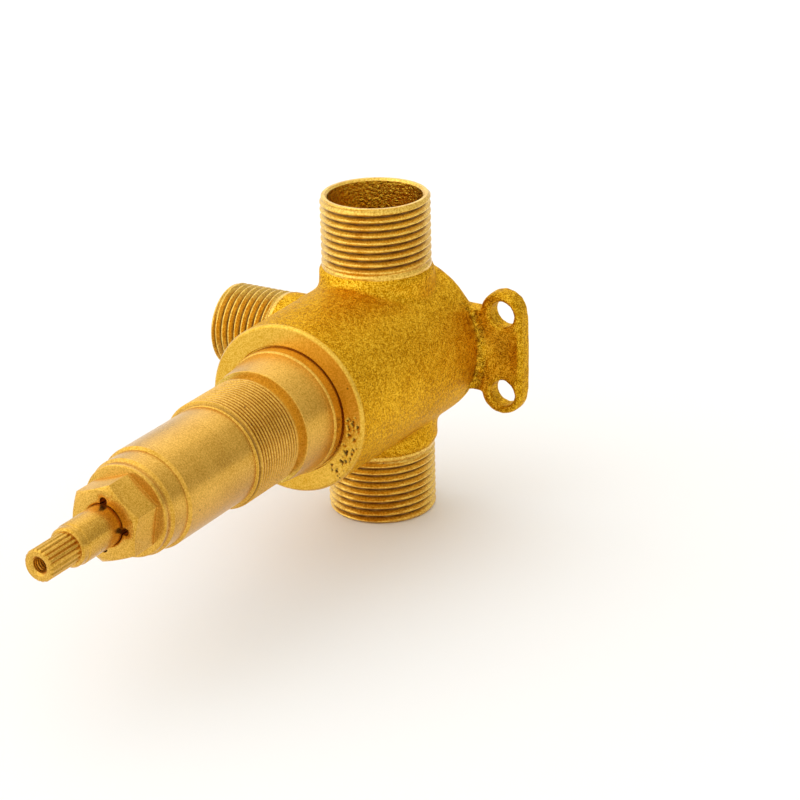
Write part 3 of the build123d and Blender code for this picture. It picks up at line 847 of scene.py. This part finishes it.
def makeTapping():
    # thin ring of thread inside the hole: inner radius = inner + depth * wave(along / pitch - turn / 2 pi)
    end = -spindleLow[1] - tapping["start"]
    start = end - tapping["length"]
    inner = densify([(tapping["inner"], start), (tapping["inner"], end)], tapping["step"])
    outer = np.array([(tapping["inner"], end), (tapping["outer"], end), (tapping["outer"], start)])
    profile = np.vstack([inner, outer])
    radius, along, turn = turnedGrid(profile, tapping["columns"])
    runOut = np.clip((end - along) / tapping["runOut"], 0, 1)
    phase = along / tapping["pitch"] - turn / (2 * pi)
    wave = 1 - runOut * (1 - threadWave(phase, tapping["crest"], tapping["root"]))
    cut = np.zeros(len(profile))
    cut[:len(inner) + 1] = tapping["depth"]
    radius = radius + cut[:, None] * wave
    points = placeTurned(radius, along, turn, (0, 0, 0), (1, 0, 0), (0, 0, 1), (0, -1, 0))
    mesh = meshFromGrid("handleScrewThread", points, True)
    turnOutward(mesh)
    shadeBy(mesh, tapping["sharpAngle"])
    mesh.materials.append(turnedBrass)
    addPiece("handleScrewThread", mesh, "stem", "turned_brass")


makeTapping()
print("bush and spindle made")


# Inner pieces keep their solids and take a finish

innerFinishes = {
    "seat_seal": blackRubber, "bonnet_o_ring": blackRubber, "spindle_o_ring_back": blackRubber,
    "spindle_o_ring_front": blackRubber, "fixed_disc": whiteCeramic, "moving_disc": whiteCeramic,
    "thrust_washer": whitePlastic, "disc_cage": turnedBrass, "gland_washer": turnedBrass,
}
for nodeName, material in innerFinishes.items():
    nodes[nodeName].data.materials.clear()
    nodes[nodeName].data.materials.append(material)
print("inner pieces:", len(innerFinishes), "finished")


# Floor, light and camera

studio = {
    "floor": 6000, "floorGap": 0.1, "floorColour": (0.93, 0.93, 0.93), "floorRough": 0.9,
    "skyWarm": (1.0, 0.955, 0.82), "skyPale": (1.0, 1.0, 1.0), "brightSide": (-0.72, -0.38, 0.58),
    "skyFrom": (-0.7, 0.9), "skyLow": 0.58, "skyHigh": 1.30, "aim": (0, -60, 0),
}


def makeFloor():
    half = studio["floor"] * mm
    level = (bodyLow[2] - studio["floorGap"]) * mm
    mesh = bpy.data.meshes.new("floor")
    corners = [(-half, -half, level), (half, -half, level), (half, half, level), (-half, half, level)]
    mesh.from_pydata(corners, [], [(0, 1, 2, 3)])
    floor = bpy.data.objects.new("floor", mesh)
    bpy.context.scene.collection.objects.link(floor)
    material, tree, shader = newMaterial("paleFloor")
    shader.inputs["Base Color"].default_value = (*studio["floorColour"], 1)
    shader.inputs["Roughness"].default_value = studio["floorRough"]
    mesh.materials.append(material)


softLights = [
    {"name": "keyLight", "place": (-450, -350, 850), "size": 1100, "power": 0.9},
    {"name": "frontFill", "place": (-850, -800, 350), "size": 900, "power": 0.8},
    {"name": "backRim", "place": (-300, 750, 650), "size": 900, "power": 0.7},
]


def makeLight(settings, target):
    lamp = bpy.data.lights.new(settings["name"], "AREA")
    lamp.shape = "DISK"
    lamp.size = settings["size"] * mm
    lamp.energy = settings["power"]
    light = bpy.data.objects.new(settings["name"], lamp)
    light.location = Vector(settings["place"]) * mm
    aim = Vector(target) - Vector(settings["place"])
    light.rotation_euler = aim.to_track_quat("-Z", "Y").to_euler()
    bpy.context.scene.collection.objects.link(light)


view = {
    "azimuth": 30.75, "elevation": 22.29, "roll": -1.34, "distance": 600, "pixelsPerMm": 4.115,
    "across": 379.0, "down": 351.2, "imageWidth": 800, "sensor": 36, "clipStart": 10,
}


def makeCamera():
    # looks at the crossing of the ports' and spindle's axes, which lands at (across, down) in the image
    azimuth, elevation, roll = (radians(view[key]) for key in ("azimuth", "elevation", "roll"))
    right = Vector((cos(azimuth), sin(azimuth), 0))
    back = Vector((sin(azimuth) * cos(elevation), -cos(azimuth) * cos(elevation), sin(elevation)))
    up = back.cross(right)
    imageRight = right * cos(roll) + up * sin(roll)
    imageUp = up * cos(roll) - right * sin(roll)
    middle = view["imageWidth"] / 2
    acrossMm = (view["across"] - middle) / view["pixelsPerMm"]
    downMm = (view["down"] - middle) / view["pixelsPerMm"]
    crossing = Vector((0, portsY, 0))
    place = crossing - imageRight * acrossMm + imageUp * downMm + back * view["distance"]
    lens = bpy.data.cameras.new("camera")
    lens.sensor_width = view["sensor"]
    lens.lens = view["pixelsPerMm"] * view["distance"] / view["imageWidth"] * view["sensor"]
    lens.clip_start = view["clipStart"] * mm
    camera = bpy.data.objects.new("camera", lens)
    turned = Matrix((imageRight, imageUp, back)).transposed()
    camera.matrix_world = Matrix.Translation(place * mm) @ turned.to_4x4()
    bpy.context.scene.collection.objects.link(camera)
    bpy.context.scene.camera = camera


def makeSky():
    # brighter and paler towards one side: share = direction . brightSide, taken from skyFrom to 0 and 1
    world = bpy.data.worlds.new("studioSky")
    bpy.context.scene.world = world
    world.use_nodes = True
    tree = world.node_tree
    sky = tree.nodes["Background"]
    side = addNode(tree, "ShaderNodeVectorMath", operation="DOT_PRODUCT")
    side.inputs[1].default_value = studio["brightSide"]
    tree.links.new(addNode(tree, "ShaderNodeTexCoord").outputs["Generated"], side.inputs[0])
    share = rangeOf(tree, side.outputs["Value"], *studio["skyFrom"], 0, 1)
    tree.links.new(mixOf(tree, share, studio["skyWarm"], studio["skyPale"]), sky.inputs["Color"])
    strength = rangeOf(tree, share, 0, 1, studio["skyLow"], studio["skyHigh"])
    tree.links.new(strength, sky.inputs["Strength"])


makeFloor()
for settings in softLights:
    makeLight(settings, studio["aim"])
makeCamera()
makeSky()
bpy.context.scene.view_settings.view_transform = "Standard"
print("studio set")
